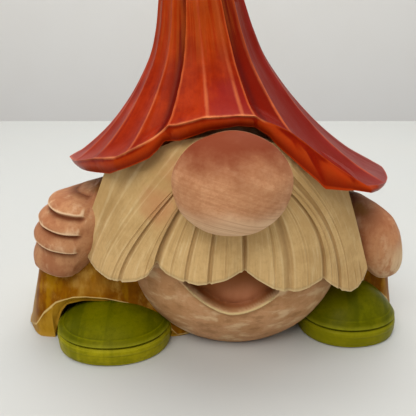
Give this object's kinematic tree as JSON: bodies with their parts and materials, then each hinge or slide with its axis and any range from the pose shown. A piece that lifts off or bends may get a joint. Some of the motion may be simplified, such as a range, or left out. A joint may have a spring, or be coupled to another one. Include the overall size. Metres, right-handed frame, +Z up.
{
  "type": "carved garden gnome",
  "caption": "Free-standing carved wooden gnome: tall fluted hat with a flared brim, round nose, scalloped moustache, open mouth, hands, flared trousers and thick-soled shoes.",
  "frame": {"origin": "on the ground, on the flat foot of the head between the two shoes, under the middle of the hat", "axes": "+Z up, -Y the way the gnome looks, +X towards the gnome's left hand"},
  "size_m": [0.1764, 0.1184, 0.256],
  "materials": {
    "hat_wood": "thin orange-red wash, worn pale on the ridges, satin",
    "head_wood": "thin flesh wash over bare wood, satin",
    "nose_wood": "thin rosy flesh wash, growth rings showing, satin",
    "moustache_wood": "thin cream wash, satin",
    "trunk_wood": "thin ochre wash, satin",
    "sleeve_wood": "thin ochre wash, satin",
    "hand_wood": "thin flesh wash, satin",
    "trouser_wood": "thin ochre wash, worn pale on the edges, satin",
    "shoe_upper_wood": "thin leaf-green wash, satin",
    "shoe_sole_wood": "thin leaf-green wash, worn on the edges, satin",
    "dowel_wood": "bare hardwood, unfinished"
  },
  "bodies": {
    "root": {"hat": "hat_wood", "head": "head_wood", "nose": "nose_wood", "moustache": "moustache_wood", "torso": "trunk_wood", "right_sleeve": "sleeve_wood", "left_sleeve": "sleeve_wood", "right_hand": "hand_wood", "left_hand": "hand_wood", "right_leg": "trouser_wood", "left_leg": "trouser_wood", "right_shoe_upper": "shoe_upper_wood", "right_shoe_sole": "shoe_sole_wood", "left_shoe_upper": "shoe_upper_wood", "left_shoe_sole": "shoe_sole_wood", "hat_dowel": "dowel_wood", "nose_dowel": "dowel_wood", "right_moustache_pin": "dowel_wood", "left_moustache_pin": "dowel_wood", "upper_neck_dowel": "dowel_wood", "lower_neck_dowel": "dowel_wood", "right_arm_dowel": "dowel_wood", "left_arm_dowel": "dowel_wood", "right_hip_dowel": "dowel_wood", "left_hip_dowel": "dowel_wood", "right_ankle_dowel": "dowel_wood", "left_ankle_dowel": "dowel_wood", "right_outer_sole_peg": "dowel_wood", "right_inner_sole_peg": "dowel_wood", "left_outer_sole_peg": "dowel_wood", "left_inner_sole_peg": "dowel_wood"}
  },
  "joints": []
}
